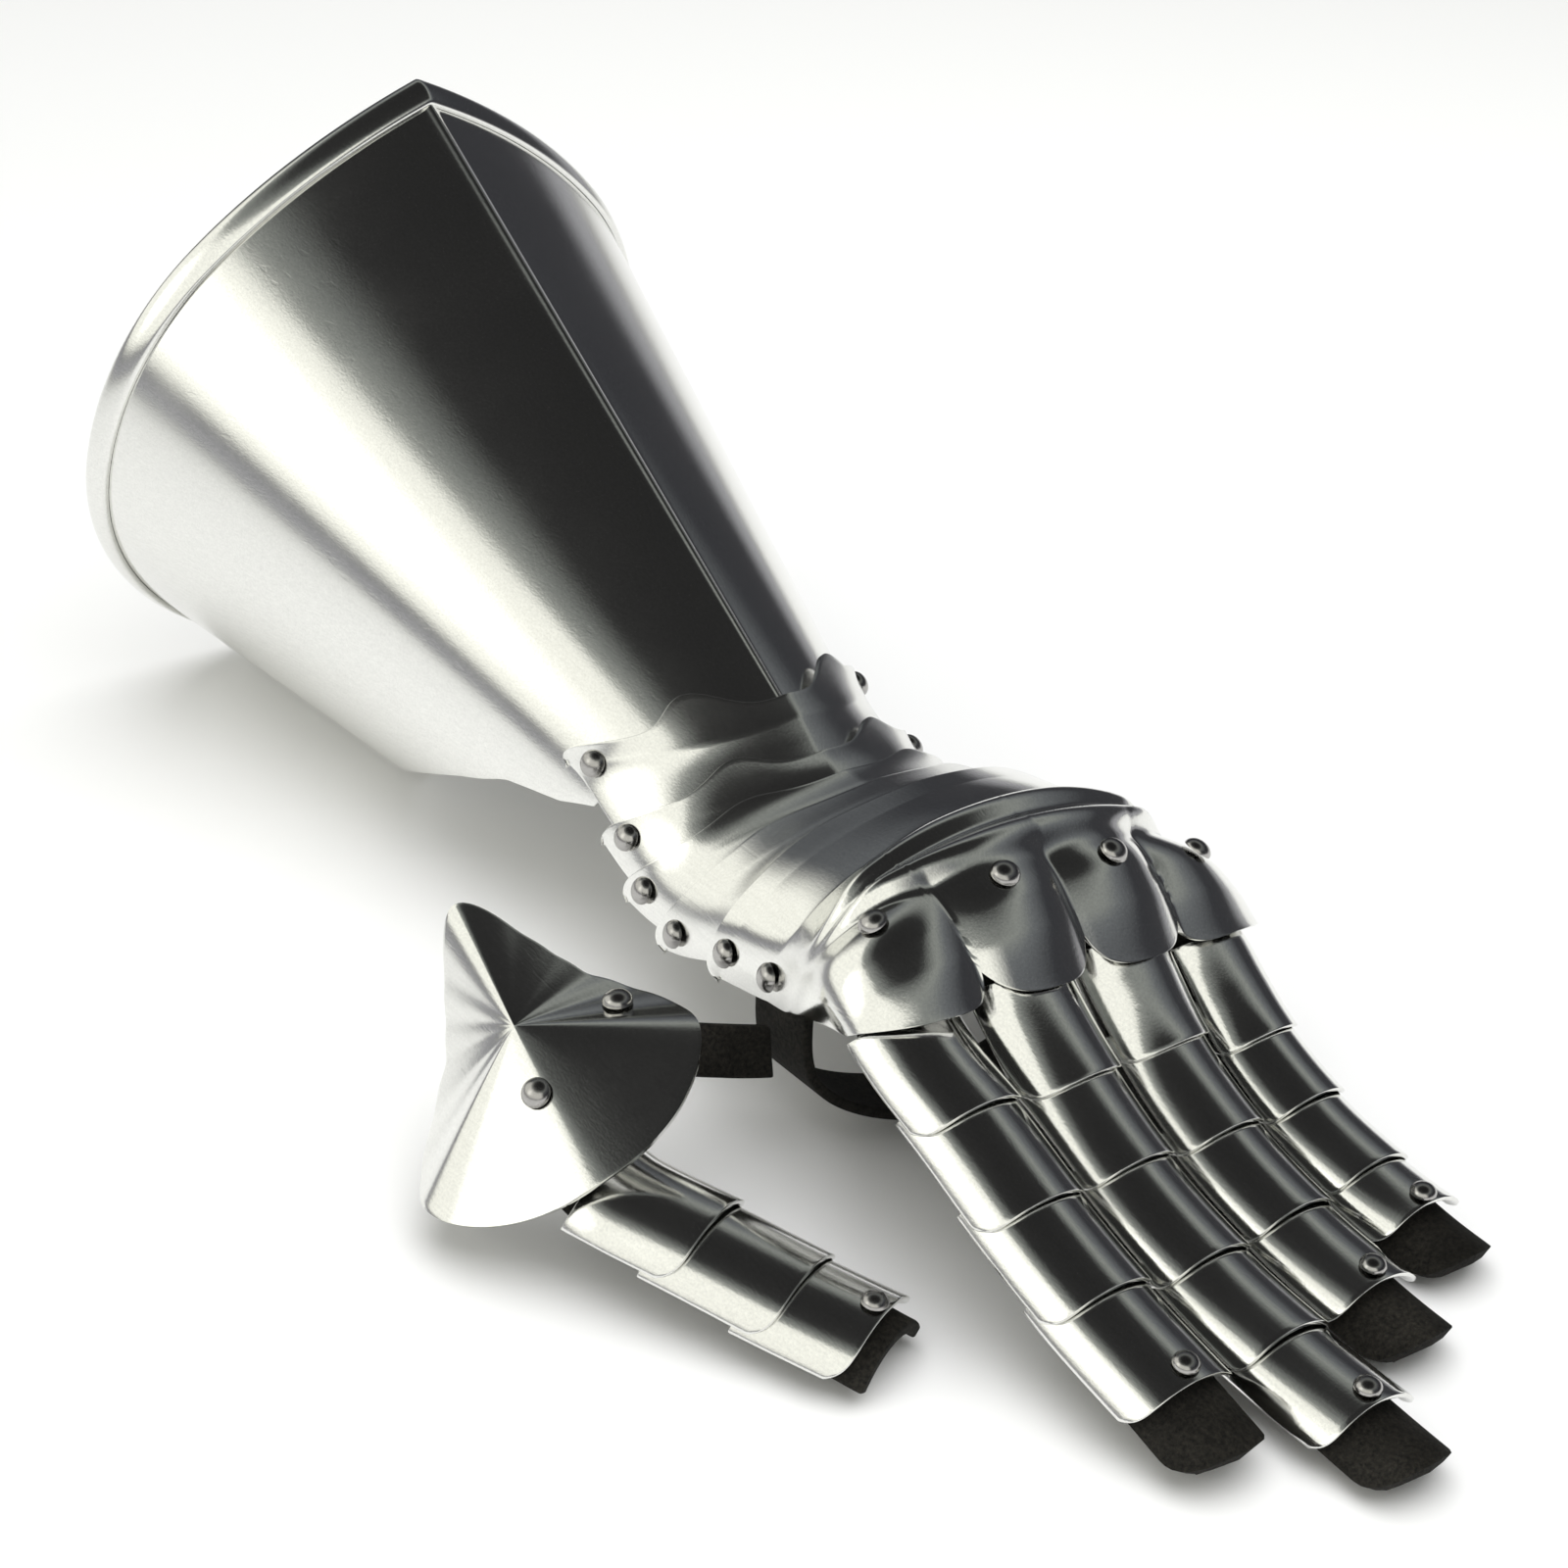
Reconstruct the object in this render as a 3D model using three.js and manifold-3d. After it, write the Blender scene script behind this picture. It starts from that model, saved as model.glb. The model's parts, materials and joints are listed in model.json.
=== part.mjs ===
// An armoured gauntlet for the left hand, lying on a flat surface. Millimetres, +Z up, +X to the fingertips.
import * as THREE from 'three';
import { mergeVertices } from 'three/addons/utils/BufferGeometryUtils.js';
import Module from 'manifold-3d';

const wasm = await Module();
wasm.setup();

// Walls and gaps
const PLATE = 1.2; // cuff, wrist lames, hand plate and thumb guard
const SCALE = 1.0; // finger and thumb scales
const HIDE = 3.0; // leather strips
const SLIDE = 1.0; // between plates that slide over one another
const LAP = PLATE + SLIDE;
const REST = 0.6; // between pieces that are riveted flat
const SHINGLE = SCALE + 0.85; // rise from one scale to the next

// Rivets
const WRIST_RIVET = { head: 3.3, height: 2.3, shank: 1.3, tail: 2.4 };
const SMALL_RIVET = { head: 2.9, height: 2.1, shank: 1.1, tail: 2.1 };
const RIVET_SIDES = 6;
const RIVET_GAP = 0.6;
const TAIL_HEIGHT = 1;
const HOLE_PLAY = 0.35;

// Cuff: a cone between two sections, each flattened below and keeled on top
const RIM = { x: -191.5, z: 75, half: 82.5, top: 85, bottom: 73.5, lean: 0.27, keel: 14.7 };
const WRIST = { x: -16.7, z: 25, half: 40.5, top: 42, bottom: 31, lean: 0.31, keel: 2.7 };
const KEEL_SPREAD = 0.8;
const CUFF_LENGTH = 182;

// How far the cuff reaches towards the hand, as a share of its length: cut back round the palm
const CUFF_REACH = [
  { angle: 0, reach: 1.03 },
  { angle: 30, reach: 1.0 },
  { angle: 58, reach: 0.962 },
  { angle: 70, reach: 0.957 },
  { angle: 77, reach: 0.91 },
  { angle: 84, reach: 0.825 },
  { angle: 96, reach: 0.753 },
  { angle: 107, reach: 0.694 },
  { angle: 125, reach: 0.6 },
  { angle: 150, reach: 0.5 },
  { angle: 180, reach: 0.47 },
];

// The rim is rolled outwards over its wire: each row is a distance from the edge and a height above the cuff
const ROLL = [
  { from: 8.4, up: 0 },
  { from: 7.8, up: -0.4 },
  { from: 6.8, up: 1.3 },
  { from: 2.6, up: 1.8 },
  { from: 0, up: -0.2 },
  { from: 1.8, up: -2.6 },
  { from: 6.4, up: -2.4 },
  { from: 9.5, up: -1.2 },
];
const ROLL_OUTER_ROWS = 5;

// Arches of the wrist and hand. Row 0 lies on the cuff, rows 1 to 5 are the hinges, row 10 the finger edge.
const ARCHES = [
  { crestX: -14, crestZ: 70.6, sideX: -38.9, sideZ: 58.3, half: 41.8, turn: 58, tab: 6, keel: 3.4 },
  { crestX: 4, crestZ: 61.4, sideX: -22, sideZ: 51, half: 37, turn: 58, tab: 7, keel: 2.4 },
  { crestX: 18, crestZ: 54.5, sideX: -3, sideZ: 41, half: 40, turn: 68, tab: 10, keel: 1.6 },
  { crestX: 30, crestZ: 56.5, sideX: 9, sideZ: 34, half: 43, turn: 78, tab: 9, keel: 1.1 },
  { crestX: 43, crestZ: 62, sideX: 26, sideZ: 32.5, half: 46, turn: 84, tab: 9, keel: 0.7 },
  { crestX: 56, crestZ: 67.5, sideX: 48, sideZ: 40, half: 48.5, turn: 84, tab: 12, keel: 0.3 },
  { crestX: 68, crestZ: 71.5, sideX: 63, sideZ: 41.5, half: 50.5, turn: 86, tab: 12, keel: 0 },
  { crestX: 80, crestZ: 73, sideX: 75, sideZ: 42, half: 54, turn: 88, tab: 8, keel: 0 },
  { crestX: 91, crestZ: 69.5, sideX: 85, sideZ: 43.5, half: 56.5, turn: 88, tab: 4, keel: 0 },
  { crestX: 101, crestZ: 61, sideX: 94, sideZ: 44, half: 57, turn: 86, tab: 0, keel: 0 },
  { crestX: 109, crestZ: 51, sideX: 101, sideZ: 43, half: 56, turn: 80, tab: -4, keel: 0 },
];
const HAND_ROLL = 0.08; // the hand leans towards the little finger

// Wrist lames: the hinge row of each, and how far its wave stands back over the plate before it
const LAMES = [
  { row: 1, hump: 7.5 },
  { row: 2, hump: 6 },
  { row: 3, hump: 4.5 },
  { row: 4, hump: 3 },
];
const HAND = { row: 5, hump: 2 };
const FRONT_TUCK = 0.14; // a lame is narrower where it lies under the next plate, radians
const EDGE_REACH = 6;
const HINGE_SHARE = 0.2; // the part of a plate's grid that lies behind its hinge
const HUMP_AT = 0.42;
const HUMP_SPREAD = 0.17;

// Hand plate: domes over the knuckles, a fluted ridge behind them, and a lobe over each finger
const DOME = { height: 3.4, radius: 14.2, from: 7.1, to: 8.6 };
const RIDGE = { row: 6.95, height: 4.6, width: 0.62, flute: 1.3, from: 26, to: 47 };
const LOBE = { valley: 9.15, reach: 0.9, radius: 14.6 };
const STRAP_RIVET_ROW = 6;
const KNUCKLE_RISE = 0.2; // of the knuckle rivets over the domes
const KNUCKLE_STACK = PLATE + HIDE + 5;
const LAME_ROWS = [0, HINGE_SHARE, 0.6, 1];
const HAND_ROWS = [0, 0.2, 0.33, 0.38, 0.43, 0.48, 0.53, 0.6, 0.68, 0.77, 0.87, 1];

// Fingers: crest of the leather from under the knuckle to its tip as [x, z], where each scale ends, and how
// far the start leans to the little finger's side to lie against the plate that it is riveted to, degrees
const FINGERS = [
  {
    name: 'index', y: -42.5, tipY: -43, width: 28, row: 7.8, lean: -27, ends: [124, 145, 166, 190],
    crest: [
      [79, 61.8], [86, 62.8], [93, 60], [100, 53.5], [109, 47.4], [124, 40.5],
      [145, 30], [166, 21.5], [190, 14.5], [205, 10.5],
    ],
  },
  {
    name: 'middle', y: -14, tipY: -14.5, width: 27, row: 8.1, lean: -4, ends: [124, 142, 166, 189, 212],
    crest: [
      [83, 70.8], [91, 69.2], [99, 62], [110, 49.6], [124, 37.5],
      [142, 26.5], [166, 18], [189, 13.5], [212, 11], [227, 10],
    ],
  },
  {
    name: 'ring', y: 15, tipY: 14.5, width: 27, row: 8.2, lean: 12, ends: [121, 140, 162, 186],
    crest: [
      [83, 68.4], [91, 66.8], [99, 59.6], [109, 47], [121, 34],
      [140, 22.5], [162, 15], [186, 11], [201, 10],
    ],
  },
  {
    name: 'little', y: 43, tipY: 42.5, width: 25.5, row: 8.2, lean: 34, ends: [122, 138, 158, 173],
    crest: [
      [82, 55.6], [90, 55.2], [97, 49.7], [104, 42.5], [112, 34.6], [122, 26.6],
      [138, 18.5], [158, 13], [173, 10.5], [187, 9.6],
    ],
  },
];
const THUMB = {
  name: 'thumb', y: -111.3, tipY: -76.5, width: 30, row: 0, lean: -34, ends: [103, 123, 139],
  crest: [[58, 32.4], [66, 29.6], [75, 26.1], [86, 22.6], [103, 19], [123, 14.7], [139, 11.7], [142, 11.3]],
};
const SCALE_LAP = 8;
const FIRST_SCALE = 26;
const SCALE_TURN = 68; // half of the arc that a scale covers, degrees
const HIDE_TURN = 60;
const HIDE_START = 38;
const LEAN_LENGTH = 32;
const SCALE_CORNER = 4;
const TONGUE_ROUND = 9;
const HIDE_ROWS = [0, 0.5]; // places of a strip's first rows, before its first scale
const TONGUE_ROWS = [0.5, 1]; // and of its last rows, along its round end
const TIP_RIVET = 0.88; // place of the tip rivet along the last scale

// Thumb guard: its outline and its fall, seen from the boss, from the front round to the spike
const GUARD_PLACE = new THREE.Vector3(49.1, -106.5, 42.3);
const GUARD_FORWARD = new THREE.Vector3(0.935, -0.144, -0.324);
const GUARD_UP = new THREE.Vector3(0.176, -0.604, 0.777);
const GUARD = [
  { angle: 0, near: 40.5, far: 40.5, fall: 3 },
  { angle: 30, near: 41.5, far: 41, fall: 5 },
  { angle: 50, near: 42, far: 40, fall: 6.5 },
  { angle: 62, near: 41, far: 38, fall: 8.5 },
  { angle: 72, near: 36, far: 32, fall: 12.5 },
  { angle: 90, near: 26, far: 23.5, fall: 13 },
  { angle: 115, near: 20, far: 18.5, fall: 11 },
  { angle: 140, near: 21.5, far: 20, fall: 9 },
  { angle: 160, near: 26.5, far: 25, fall: 6.5 },
  { angle: 172, near: 33.5, far: 33, fall: 4 },
  { angle: 180, near: 38, far: 38, fall: 2 },
];
const FRONT_RIVET = { share: 0.4, angle: -8, stack: PLATE + HIDE + 7.6 };
const SIDE_RIVET = { share: 0.72, angle: 80, stack: 4.2 };

// Straps
const STRAP_STACK = 6.2;
const PALM_STRAP = { x: 63, forward: 13, width: 18, half: 47.4, top: 42, bottom: 4, square: 0.4, wall: 2.5 };
const THUMB_STRAP = {
  width: 12, wall: 2.5, end: new THREE.Vector3(66, -51, 25), sag: new THREE.Vector3(0, 0, -3),
};

const steel = new THREE.MeshStandardMaterial({ color: 0xb8b9b2, roughness: 0.28, metalness: 1 });
const darkSteel = new THREE.MeshStandardMaterial({ color: 0x6c6d6c, roughness: 0.35, metalness: 1 });
const leather = new THREE.MeshStandardMaterial({ color: 0x1b1816, roughness: 0.9, metalness: 0 });

const gauntlet = new THREE.Group();
const { clamp, degToRad, lerp, radToDeg, smoothstep } = THREE.MathUtils;

// ---- Walls ----

// A skin over closed loops of points. Each loop runs out along one face of a wall and back along the other.
function skinGeometry(loops, ring = false) {
  const count = loops[0].length;
  const faces = [];
  const quad = (a, b, c, d) => faces.push([a, b, c], [a, c, d]);
  const spans = ring ? loops.length : loops.length - 1;
  for (let j = 0; j < spans; j++) {
    const here = j * count;
    const next = ((j + 1) % loops.length) * count;
    for (let i = 0; i < count; i++) {
      const k = (i + 1) % count;
      quad(here + i, here + k, next + k, next + i);
    }
  }
  if (!ring) {
    const last = (loops.length - 1) * count;
    for (let i = 0; i < count / 2 - 1; i++) {
      const far = count - 1 - i;
      quad(i, far, far - 1, i + 1);
      quad(last + i, last + i + 1, last + far - 1, last + far);
    }
  }
  return new THREE.BufferGeometry().setFromPoints(loops.flat()).setIndex(faces.flat());
}

// Outward normal of a surface(u, v): u runs to the fingertips and v to the little finger's side.
function normalOf(surface, u, v) {
  const step = 1e-3;
  const inner = clamp(u, step, 1 - step);
  const alongU = surface(inner + step, v).sub(surface(inner - step, v));
  const alongV = surface(inner, v + step).sub(surface(inner, v - step));
  return alongU.cross(alongV).normalize();
}

// The same surface, moved out by height(u, v).
function lifted(surface, height) {
  return (u, v) => surface(u, v).addScaledVector(normalOf(surface, u, v), height(u, v));
}

// A wall under an outer surface, with its rows at the shares in along.
function wallGeometry(surface, wall, along, across, ring = false) {
  const loops = [];
  for (let j = 0; j < (ring ? across : across + 1); j++) {
    const v = j / across;
    const outer = [];
    const inner = [];
    for (const u of along) {
      const point = surface(u, v);
      outer.push(point);
      inner.unshift(point.clone().addScaledVector(normalOf(surface, u, v), -wall));
    }
    loops.push([...outer, ...inner]);
  }
  return skinGeometry(loops, ring);
}

const even = (count) => Array.from({ length: count + 1 }, (_, i) => i / count);

// ---- Pieces, and the rivets that go through them ----

// A closed mesh as a manifold-3d solid, with its seams merged and its flattened faces dropped.
function solidOf(geometry) {
  const bare = new THREE.BufferGeometry().copy(geometry);
  bare.deleteAttribute('normal');
  bare.deleteAttribute('uv');
  const merged = mergeVertices(bare, 1e-4);
  const corners = [];
  for (let i = 0; i < merged.index.count; i += 3) {
    const [a, b, c] = [0, 1, 2].map((k) => merged.index.getX(i + k));
    if (a !== b && b !== c && c !== a) corners.push(a, b, c);
  }
  const vertProperties = merged.attributes.position.array;
  return new wasm.Manifold(new wasm.Mesh({ numProp: 3, vertProperties, triVerts: Uint32Array.from(corners) }));
}

function geometryOf(solid) {
  const mesh = solid.getMesh();
  const geometry = new THREE.BufferGeometry();
  geometry.setAttribute('position', new THREE.BufferAttribute(mesh.vertProperties, 3));
  geometry.setIndex(new THREE.BufferAttribute(mesh.triVerts, 1));
  geometry.computeVertexNormals();
  return geometry;
}

function addMesh(name, geometry, material) {
  const mesh = new THREE.Mesh(geometry, material);
  mesh.name = name;
  gauntlet.add(mesh);
  return mesh;
}

// Pieces wait here until every hole in them is drilled.
const pieces = new Map();

function addPiece(name, geometry, material) {
  pieces.set(name, { solid: solidOf(geometry), material });
}

function drill(names, point, normal, radius, depth) {
  const cylinder = new THREE.CylinderGeometry(radius, radius, depth + 6, RIVET_SIDES);
  cylinder.applyQuaternion(new THREE.Quaternion().setFromUnitVectors(new THREE.Vector3(0, 1, 0), normal));
  const centre = point.clone().addScaledVector(normal, -depth / 2);
  const bore = solidOf(cylinder.translate(centre.x, centre.y, centre.z));
  for (const name of names) {
    const piece = pieces.get(name);
    piece.solid = piece.solid.subtract(bore);
  }
}

// A domed rivet. Its head stands on the surface at u, v, and its tail is closed below the stack.
function addRivet(name, surface, [u, v], { head, height, shank, tail }, stack, through) {
  const point = surface(u, v);
  const normal = normalOf(surface, u, v);
  const under = -stack - RIVET_GAP;
  const slope = Math.SQRT1_2;
  const profile = [
    [0, under - TAIL_HEIGHT],
    [tail, under],
    [shank, under],
    [shank, RIVET_GAP],
    [head, RIVET_GAP],
    [head * slope, RIVET_GAP + height * slope],
    [0, RIVET_GAP + height],
  ];
  const outline = profile.map(([radius, up]) => new THREE.Vector2(radius, up));
  const rivet = addMesh(name, new THREE.LatheGeometry(outline, RIVET_SIDES), darkSteel);
  rivet.quaternion.setFromUnitVectors(new THREE.Vector3(0, 1, 0), normal);
  rivet.position.copy(point);
  drill(through, point, normal, shank + HOLE_PLAY, stack);
}

// ---- Tables ----

// One column of a table at a fractional row, smooth through the rows.
function column(table, key, row) {
  const k = clamp(Math.floor(row), 0, table.length - 2);
  const t = row - k;
  const [a, b, c, d] = [k - 1, k, k + 1, k + 2].map((i) => table[clamp(i, 0, table.length - 1)][key]);
  return b + 0.5 * t * (c - a + t * (2 * a - 5 * b + 4 * c - d + t * (3 * (b - c) + d - a)));
}

// A column of a table that is keyed by angle, straight from row to row.
function atAngle(table, angle, key) {
  const i = clamp(table.findIndex((row) => row.angle >= angle), 1, table.length - 1);
  const [a, b] = [table[i - 1], table[i]];
  return a[key] + ((b[key] - a[key]) * (angle - a.angle)) / (b.angle - a.angle);
}

// ---- Cuff ----

const keelAt = (angle) => Math.max(0, 1 - Math.abs(angle) / KEEL_SPREAD) ** 2;

function cuffSection({ x, z, half, top, bottom, lean, keel }, angle) {
  const rise = Math.cos(angle) * (Math.cos(angle) > 0 ? top : bottom) + keel * keelAt(angle);
  return new THREE.Vector3(x + Math.sin(lean) * rise, half * Math.sin(angle), z + Math.cos(lean) * rise);
}

const cuffPoint = (share, angle) => cuffSection(RIM, angle).lerp(cuffSection(WRIST, angle), share);

function cuffGeometry(columns, rows) {
  const loops = [];
  for (let j = 0; j < columns; j++) {
    const angle = (j / columns - 0.5) * 2 * Math.PI;
    const near = (u, v) => cuffPoint(u, angle + v);
    const at = (share, up) => cuffPoint(share, angle).addScaledVector(normalOf(near, share, 0), up);
    const roll = ROLL.map(({ from, up }) => at(from / CUFF_LENGTH, up));
    const start = ROLL[ROLL.length - 1].from / CUFF_LENGTH;
    const reach = atAngle(CUFF_REACH, Math.abs(radToDeg(angle)), 'reach');
    const shares = Array.from({ length: rows }, (_, i) => start + ((reach - start) * (i + 1)) / rows);
    const outer = shares.map((share) => at(share, 0));
    const inner = shares.map((share) => at(share, -PLATE)).reverse();
    const rollOuter = roll.slice(0, ROLL_OUTER_ROWS).reverse();
    const rollInner = roll.slice(ROLL_OUTER_ROWS).reverse();
    loops.push([...rollOuter, ...outer, ...inner, ...rollInner]);
  }
  return skinGeometry(loops, true);
}

// ---- Wrist lames and hand plate ----

// A point of the arches: row counts along the hand, angle goes over it from the crest.
function archPoint(row, angle) {
  const { crestX, crestZ, sideX, sideZ, half, turn, keel } = archAt(row);
  const fall = (1 - Math.cos(angle)) / (1 - Math.cos(turn));
  const y = (half * Math.sin(angle)) / Math.sin(turn);
  const roll = HAND_ROLL * smoothstep(row, 5, 8);
  const z = crestZ + (sideZ - crestZ) * fall + keel * keelAt(angle) - roll * y;
  return new THREE.Vector3(crestX + (sideX - crestX) * fall, y, z);
}

function archAt(row) {
  const arch = Object.fromEntries(Object.keys(ARCHES[0]).map((key) => [key, column(ARCHES, key, row)]));
  return { ...arch, turn: degToRad(arch.turn), edge: degToRad(arch.turn + arch.tab) };
}

// Length of the step from the row before, at an angle.
const pitchAt = (row, angle) => archPoint(row, angle).distanceTo(archPoint(row - 1, angle));

// How many rows a plate stands back over the one before it: a wave with a hump on each side of the crest.
function backReach({ row, hump }, share) {
  const { turn, edge } = archAt(row);
  const bell = Math.exp(-(((share - HUMP_AT) / HUMP_SPREAD) ** 2));
  const tab = Math.sqrt(1 - clamp((share - 1) / (edge / turn - 1), 0, 1) ** 2);
  return (tab * (EDGE_REACH + hump * bell)) / pitchAt(row, share * turn);
}

// How many rows a lame runs on past the next plate's hinge: to its hole at the sides.
function frontReach(row, share) {
  const reach = 0.5 + 5 * smoothstep(share, 0.55, 0.85);
  return reach / pitchAt(row, share * archAt(row).turn);
}

// Outer surface of a plate between its two edges. Each plate rises over the one before it by one lap.
function plateSurface(plate, frontRow, relief = () => 0, tuck = 0) {
  const { turn, edge } = archAt(plate.row);
  const place = (u, v) => {
    const side = 2 * v - 1;
    const share = (Math.abs(side) * edge) / turn;
    const back = plate.row - backReach(plate, share);
    const toHinge = Math.min(u / HINGE_SHARE, 1);
    const past = Math.max(0, (u - HINGE_SHARE) / (1 - HINGE_SHARE));
    const row = back + (plate.row - back) * toHinge + (frontRow(share, side) - plate.row) * past;
    return { row, angle: side * (archAt(row).edge - tuck * u * u) };
  };
  const base = (u, v) => {
    const { row, angle } = place(u, v);
    return archPoint(row, angle);
  };
  return lifted(base, (u, v) => {
    const { row } = place(u, v);
    const laps = clamp(plate.row + 1 - row, 0, plate.row === 1 ? 1 : 2);
    return LAP * laps + relief(row, base(u, v).y);
  });
}

function lameSurface(lame) {
  const frontRow = (share) => lame.row + 1 + frontReach(lame.row + 1, share);
  return plateSurface(lame, frontRow, () => 0, FRONT_TUCK);
}

const fromFinger = (y) => Math.min(...FINGERS.map((finger) => Math.abs(y - finger.y)));

// Height of the domes over the knuckles and of the fluted ridge behind them.
function handRelief(row, y) {
  const round = clamp(fromFinger(y) / DOME.radius, 0, 1);
  const dome = 0.5 * DOME.height * (Math.cos(round * Math.PI) + 1) * smoothstep(row, DOME.from, DOME.to);
  const across = (row - RIDGE.row) / RIDGE.width;
  const flute = RIDGE.flute * Math.exp(-((across / 0.28) ** 2));
  const ridge = Math.max(0, RIDGE.height * Math.exp(-(across ** 4)) - flute);
  return dome + ridge * (1 - smoothstep(Math.abs(y), RIDGE.from, RIDGE.to));
}

function handSurface() {
  const frontRow = (share, side) => {
    const { y } = archPoint(LOBE.valley, side * archAt(LOBE.valley).edge);
    return LOBE.valley + LOBE.reach * Math.sqrt(Math.max(0, 1 - (fromFinger(y) / LOBE.radius) ** 2));
  };
  return plateSurface(HAND, frontRow, handRelief);
}

// ---- Fingers and thumb ----

// The crest line of a digit's leather, evenly spaced by its length, and where the line passes an x.
function digitLine({ crest, y, tipY, lean }) {
  const [first, last] = [crest[0][0], crest[crest.length - 1][0]];
  const yAt = (x) => lerp(y, tipY, (x - first) / (last - first));
  const points = crest.map(([x, z]) => new THREE.Vector3(x, yAt(x), z));
  const curve = new THREE.CatmullRomCurve3(points, false, 'centripetal');
  const shareAtX = (x) => {
    let [low, high] = [0, 1];
    for (let i = 0; i < 20; i++) {
      const middle = (low + high) / 2;
      if (curve.getPointAt(middle).x < x) low = middle;
      else high = middle;
    }
    return low;
  };
  return { curve, shareAtX, lean, length: curve.getLength() };
}

// A point on an arc across the line: the arc's centre is one depth under the line, lifted by rise.
function arcPoint({ curve, lean, length }, share, depth, rise, radius, angle) {
  const at = clamp(share, 0, 1);
  const along = curve.getTangentAt(at);
  const across = new THREE.Vector3(0, 0, 1).cross(along).normalize();
  across.applyAxisAngle(along, -degToRad(lean) * (1 - smoothstep(at * length, 0, LEAN_LENGTH)));
  const up = along.clone().cross(across);
  const point = curve.getPointAt(at).addScaledVector(up, rise - depth + radius * Math.cos(angle));
  return point.addScaledVector(across, radius * Math.sin(angle));
}

const scaleRadius = ({ width }) => width / 2 / Math.sin(degToRad(SCALE_TURN));
const hideRadius = (digit) => scaleRadius(digit) - SCALE - REST;

// Where a scale starts under the one before it, where that one ends, and where it ends itself.
function scaleSpan(digit, line, k) {
  const lap = SCALE_LAP / line.length;
  const end = line.shareAtX(digit.ends[k]);
  const before = k > 0 ? line.shareAtX(digit.ends[k - 1]) : end - FIRST_SCALE / line.length + lap;
  return { start: before - lap, before, end };
}

// Rows at both ends of both laps, so that two scales run parallel where they meet.
function scaleRows(digit, line, k) {
  const { start, before, end } = scaleSpan(digit, line, k);
  const lap = (before - start) / (end - start);
  return [0, lap, 1 - lap, 1];
}

// Each scale covers the start of the next one, so it rises by one shingle along its visible length.
function scaleSurface(digit, line, k) {
  const { start, before, end } = scaleSpan(digit, line, k);
  return (u, v) => {
    const side = 2 * v - 1;
    const corner = (SCALE_CORNER * Math.abs(side) ** 8) / line.length;
    const share = Math.min(start + (end - start) * u, end - corner);
    const rise = (SHINGLE * (share - start)) / (end - before);
    return arcPoint(line, share, hideRadius(digit), rise, scaleRadius(digit), side * degToRad(SCALE_TURN));
  };
}

function hideSurface(digit, line) {
  const radius = hideRadius(digit);
  return (u, v) => {
    const toEnd = (1 - u) * line.length;
    const round = Math.sqrt(1 - clamp(1 - toEnd / TONGUE_ROUND, 0, 1) ** 2);
    const full = lerp(HIDE_START, HIDE_TURN, smoothstep(u * line.length, 0, 30));
    const turn = degToRad(full) * (digit === THUMB ? 1 : round);
    return arcPoint(line, u, radius, 0, radius, (2 * v - 1) * turn);
  };
}

// A strip has the rows of its scales, so that they run parallel.
function hideRows(digit, line) {
  const lap = SCALE_LAP / line.length;
  const { start, before } = scaleSpan(digit, line, 0);
  const under = digit.ends.flatMap((x) => [line.shareAtX(x) - lap, line.shareAtX(x)]);
  const round = Math.min(TONGUE_ROUND / line.length, 1 - under[under.length - 1]);
  const tongue = TONGUE_ROWS.map((u) => 1 - round + round * u);
  return [...HIDE_ROWS.map((u) => u * start), start, before, ...under, ...tongue];
}

function addDigit(digit) {
  const line = digitLine(digit);
  const hide = `${digit.name}_leather`;
  addPiece(hide, wallGeometry(hideSurface(digit, line), HIDE, hideRows(digit, line), 4), leather);
  digit.ends.forEach((end, k) => {
    const scale = wallGeometry(scaleSurface(digit, line, k), SCALE, scaleRows(digit, line, k), 6);
    addPiece(`${digit.name}_scale_${k + 1}`, scale, steel);
  });
  const last = digit.ends.length;
  const stack = SCALE + REST + HIDE + SHINGLE + 0.8;
  const through = [`${digit.name}_scale_${last}`, hide];
  const surface = scaleSurface(digit, line, last - 1);
  addRivet(`rivet_${digit.name}_tip`, surface, [TIP_RIVET, 0.5], SMALL_RIVET, stack, through);
}

// ---- Thumb guard ----

const GUARD_ACROSS = GUARD_UP.clone().cross(GUARD_FORWARD).normalize();

function guardSurface(u, v) {
  const angle = (2 * v - 1) * Math.PI;
  const degrees = Math.abs(radToDeg(angle));
  const reach = u * atAngle(GUARD, degrees, angle < 0 ? 'near' : 'far');
  const fall = u ** 1.15 * atAngle(GUARD, degrees, 'fall');
  const point = GUARD_PLACE.clone().addScaledVector(GUARD_UP, -fall);
  point.addScaledVector(GUARD_FORWARD, reach * Math.cos(angle));
  return point.addScaledVector(GUARD_ACROSS, reach * Math.sin(angle));
}

const guardPlace = ({ share, angle }) => [share, (angle / 180 + 1) / 2];

// ---- Straps ----

function palmStrapSurface(u, v) {
  const { x, forward, width, half, top, bottom, square } = PALM_STRAP;
  const angle = Math.PI * v;
  const sag = Math.sign(Math.sin(angle)) * Math.abs(Math.sin(angle)) ** square;
  const along = x + forward * Math.sin(angle) ** 2 + (u - 0.5) * width;
  return new THREE.Vector3(along, half * Math.cos(angle), top - (top - bottom) * sag);
}

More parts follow.
